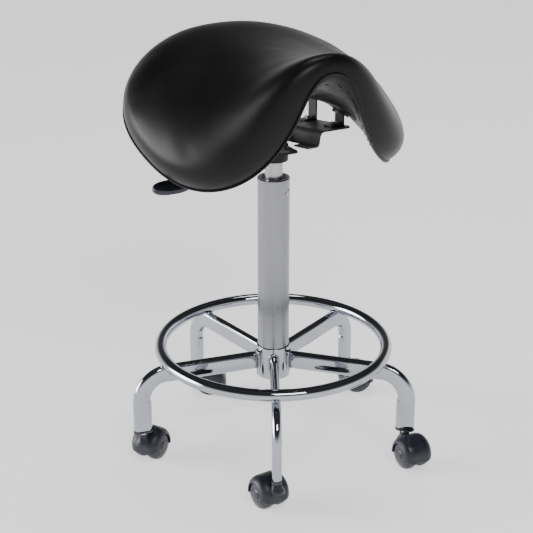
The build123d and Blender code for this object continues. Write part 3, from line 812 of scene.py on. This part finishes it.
SADDLE_Y = 17.0 * MM
SADDLE_LONG = 190.8 * MM
SADDLE_HALF = 221.5 * MM
SADDLE_POWER = 2.38
SPINE = np.array((596.0, 5.5, 32.7, -27.8, 18.6)) * MM
SPINE_UNIT = 200.0 * MM
DROOP_FRONT, DROOP_REAR, DROOP_MID = np.radians((72.5, 17.4, -11.0))
BEND_FRONT, BEND_REAR, BEND_MID = np.array((75.4, 311.0, 42.5)) * MM
PAD_THICK = 62.0 * MM
PAD_SQUARE = 8.0
PAD_RIM = 6.0 * MM
FLAP_START, FLAP_FADE = 0.25, 0.5    # where the height turns from the section's plane to the true normal
BEND_STEPS = 24
RIM_SEGMENTS = 192


def bent(p, q, height):
    """Places on the saddle for p across and q along its flat blank, at a height above its lower face."""
    t = np.clip((q + SADDLE_LONG) / (2 * SADDLE_LONG), 0, 1)
    bow = 4 * t * (1 - t)
    droop = DROOP_FRONT + (DROOP_REAR - DROOP_FRONT) * t + DROOP_MID * bow
    bend = BEND_FRONT + (BEND_REAR - BEND_FRONT) * t + BEND_MID * bow
    steps = (np.arange(BEND_STEPS) + 0.5) / BEND_STEPS
    along = np.abs(p)[..., None] * steps
    angles = droop[..., None] * (1 - (1 - np.clip(along / bend[..., None], 0, 1)) ** 2)
    edge = droop * (1 - (1 - np.clip(np.abs(p) / bend, 0, 1)) ** 2)
    reach = np.abs(p) * np.cos(angles).mean(-1) + height * np.sin(edge)
    drop = np.abs(p) * np.sin(angles).mean(-1) - height * np.cos(edge)
    u = q / SPINE_UNIT
    spine = sum(c * u**k for k, c in enumerate(SPINE))
    return np.stack([np.sign(p) * reach, q + SADDLE_Y, spine - drop], -1)


def saddle_point(out, turn, height):
    """Point at a fraction out to the rim, a turn round it and a height above the lower face."""
    c, s = np.cos(turn), np.sin(turn)
    power = 2 / SADDLE_POWER
    p = out * SADDLE_HALF * np.sign(c) * np.abs(c) ** power
    q = out * SADDLE_LONG * np.sign(s) * np.abs(s) ** power
    step = 0.5 * MM
    flat = np.zeros_like(p)
    base = bent(p, q, flat)
    level = (bent(p, q, flat + step) - base) / step
    across = bent(p + step, q, flat) - bent(p - step, q, flat)
    lengthways = bent(p, q + step, flat) - bent(p, q - step, flat)
    true = np.cross(across, lengthways)
    true /= np.linalg.norm(true, axis=-1, keepdims=True)
    share = np.clip((np.abs(p) / SADDLE_HALF - FLAP_START) / FLAP_FADE, 0, 1)[..., None]
    normal = level + (true - level) * share
    normal /= np.linalg.norm(normal, axis=-1, keepdims=True)
    return base + normal * np.asarray(height)[..., None]


def saddle_form(name, profile):
    """Closed body of rings: profile lists (fraction out, height) from the top middle to the lower middle."""
    turns = np.linspace(0, 2 * np.pi, RIM_SEGMENTS, endpoint=False) + 0.5 * np.pi / RIM_SEGMENTS
    rings = [saddle_point(out, turns, np.full_like(turns, height)) for out, height in profile[1:-1]]
    ends = [bent(np.array([0.001 * MM]), np.zeros(1), np.array([profile[k][1]])) for k in (0, -1)]
    points = np.concatenate(rings + ends)
    count = len(rings)
    faces = grid_faces(count, RIM_SEGMENTS)
    faces += fan(len(points) - 2, 0, RIM_SEGMENTS)
    faces += fan(len(points) - 1, (count - 1) * RIM_SEGMENTS, RIM_SEGMENTS)
    return add_mesh(name, points, faces)


INSET = 3.5 * MM
CROWN_ROWS = 44
HELD_ROWS, EASED_ROWS = 3, 9.0       # crown rows by the rim that are held, and that are partly held
# Round the rim and under the shell's edge: (fraction out, height in mm)
UNDER_ROWS = ((1.0, 5.0), (1.0, 2.6), (0.9985, 0.8), (0.992, -0.9), (0.978, -1.9), (0.955, -2.5),
              (0.93, -2.8), (0.905, -2.6), (0.900, -1.0), (0.900, 4.0), (0.6, 4.0), (0.3, 4.0), (0.0, 4.0))
SIM_VOXEL = 6 * MM
SIM_FRAMES = 20
CLOTH = {"quality": 4, "mass": 0.15, "tension_stiffness": 8, "compression_stiffness": 8, "shear_stiffness": 4,
         "bending_stiffness": 1.0, "use_pressure": True, "uniform_pressure_force": 4}
SWELL_CAP = 6.0 * MM
SWELL_SMOOTHING = 8
NEAR_COUNT, NEAR_SOFT = 10, 2 * MM


def cushion_profile():
    """Crown of the foam, round the rim and under the shell's edge."""
    profile = []
    for k in range(CROWN_ROWS):
        out = math.sin(k / CROWN_ROWS * math.pi / 2) ** 0.9
        crown = (PAD_THICK - PAD_RIM - INSET) * math.sqrt(max(1 - out**PAD_SQUARE, 0))
        profile.append((out, PAD_RIM + crown))
    return profile + [(out, height * MM) for out, height in UNDER_ROWS]


def crown_shares():
    """How free the cover is to move at each vertex: 1 over the foam, 0 at the rim and below."""
    last = len(cushion_profile()) - 1
    rows = np.append(np.repeat(np.arange(1, last), RIM_SEGMENTS), (0, last))
    return np.clip((CROWN_ROWS - HELD_ROWS - rows) / EASED_ROWS, 0.0, 1.0)


def point_tree(points):
    tree = KDTree(len(points))
    for index, point in enumerate(points):
        tree.insert(point, index)
    tree.balance()
    return tree


def simulated_swell(cushion, shares):
    """Puff a remeshed copy up as cloth held along the rim, and give each proxy point's way."""
    proxy = bpy.data.objects.new("cushion_proxy", cushion.data.copy())
    scene.collection.objects.link(proxy)
    remesh = proxy.modifiers.new("remesh", "REMESH")
    remesh.mode = "VOXEL"
    remesh.voxel_size = SIM_VOXEL
    apply_modifiers(proxy)
    tree = point_tree([vertex.co for vertex in cushion.data.vertices])
    held = proxy.vertex_groups.new(name="held")
    start = [vertex.co.copy() for vertex in proxy.data.vertices]
    for index, co in enumerate(start):
        held.add([index], 1 - shares[tree.find(co)[1]], "REPLACE")
    cloth = proxy.modifiers.new("cloth", "CLOTH")
    for setting, value in CLOTH.items():
        setattr(cloth.settings, setting, value)
    cloth.settings.vertex_group_mass = "held"
    cloth.settings.effector_weights.gravity = 0
    cloth.point_cache.frame_end = SIM_FRAMES
    for frame_number in range(1, SIM_FRAMES + 1):
        scene.frame_set(frame_number)
    graph = bpy.context.evaluated_depsgraph_get()
    swollen = proxy.evaluated_get(graph).to_mesh()
    moves = [vertex.co - co for vertex, co in zip(swollen.vertices, start)]
    scene.frame_set(1)
    bpy.data.objects.remove(proxy)
    return start, moves


def swell(cushion):
    """Move the cushion's own clean grid the way the simulated cover went."""
    shares = crown_shares()
    start, moves = simulated_swell(cushion, shares)
    tree = point_tree(start)
    ways = np.zeros((len(shares), 3))
    for vertex in cushion.data.vertices:
        near = tree.find_n(vertex.co, NEAR_COUNT)
        weights = [1 / (distance + NEAR_SOFT) for _, _, distance in near]
        way = sum((moves[index] * w for (_, index, _), w in zip(near, weights)), Vector()) / sum(weights)
        if way.length > SWELL_CAP:
            way *= SWELL_CAP / way.length
        ways[vertex.index] = way
    grid = ways[:-2].reshape(-1, RIM_SEGMENTS, 3)
    for _ in range(SWELL_SMOOTHING):
        sideways = np.roll(grid, 1, 1) + np.roll(grid, -1, 1)
        lengthways = np.concatenate([grid[:1], grid[:-1]]) + np.concatenate([grid[1:], grid[-1:]])
        grid = (2 * grid + sideways + lengthways) / 6
    ways[:-2] = grid.reshape(-1, 3)
    for vertex, way, share in zip(cushion.data.vertices, ways, shares):
        vertex.co += Vector(way) * share


def build_cushion(materials):
    cushion = saddle_form("saddle_cushion", cushion_profile())
    swell(cushion)
    cushion.modifiers.new("smooth", "SUBSURF").levels = 1
    apply_modifiers(cushion)
    finish(cushion, "seat", materials["seat_cover"], "seat_cover", "seat_pad")


def build_board(materials):
    """Bent plywood board with a rounded edge under the cushion."""
    low, high = -1.5, 7.0
    profile = [(0.0, high), (0.45, high), (0.80, high), (0.918, high), (0.926, high - 0.7),
               (0.930, high - 2.4), (0.930, low + 2.4), (0.926, low + 0.7), (0.918, low), (0.80, low),
               (0.6, low), (0.4, low), (0.2, low), (0.0, low)]
    board = saddle_form("saddle_board", [(out, height * MM) for out, height in profile])
    finish(board, "seat", materials["ply_shell"], "ply_shell", "seat_shell")


def rim_path(out, height, count):
    turns = np.linspace(0, 2 * np.pi, count, endpoint=False)
    return [Vector(point) for point in saddle_point(out, turns, np.full(count, height * MM))]


PIPING_OUT, PIPING_LEVEL, PIPING_STEPS = 1.004, 2.2, 360
PIPING_RADIUS = 1.9 * MM


def build_piping(materials):
    """Welted edge that the cover's two layers leave along the rim."""
    path = rim_path(PIPING_OUT, PIPING_LEVEL, PIPING_STEPS)
    piping = join("rim_piping", [tube_along(path, [PIPING_RADIUS] * len(path), 10, closed=True)])
    finish(piping, "seat", materials["seat_cover"], "seat_cover")


STAPLE_COUNT = 84
STAPLE_STEPS = 16         # points of the rim's line for each staple
STAPLE_OUT, STAPLE_DEPTH = 0.926, -3.5
STAPLE_WIRE = 0.5 * MM
STAPLE_BEND = ((-5.2, 2.6), (-5.0, 0.5), (-4.4, 0.0), (4.4, 0.0), (5.0, 0.5), (5.2, 2.6))


def build_staples(materials):
    """Blackened staples that hold the turned-under cover on the board, aslant along the rim."""
    line = rim_path(STAPLE_OUT, STAPLE_DEPTH, STAPLE_COUNT * STAPLE_STEPS)
    above = rim_path(STAPLE_OUT, 0.0, STAPLE_COUNT * STAPLE_STEPS)
    shells = []
    for k in range(STAPLE_COUNT):
        middle = line[STAPLE_STEPS * k]
        normal = (above[STAPLE_STEPS * k] - middle).normalized()
        along = (line[STAPLE_STEPS * k + 1] - middle).normalized()
        along = (along + normal.cross(along) * (0.35 if k % 2 else 0.2)).normalized()
        wire = [middle + along * x * MM + normal * z * MM for x, z in STAPLE_BEND]
        shells.append(tube_along(wire, [STAPLE_WIRE] * len(wire), 6))
    staples = join("cover_staples", shells)
    finish(staples, "seat", materials["black_steel"], "black_steel")


def main():
    add_camera()
    build_studio()
    materials = build_materials()
    paint_cad_nodes(materials)
    build_base(materials)
    build_castors(materials)
    build_paddle(materials)
    build_cushion(materials)
    build_board(materials)
    build_piping(materials)
    build_staples(materials)


main()
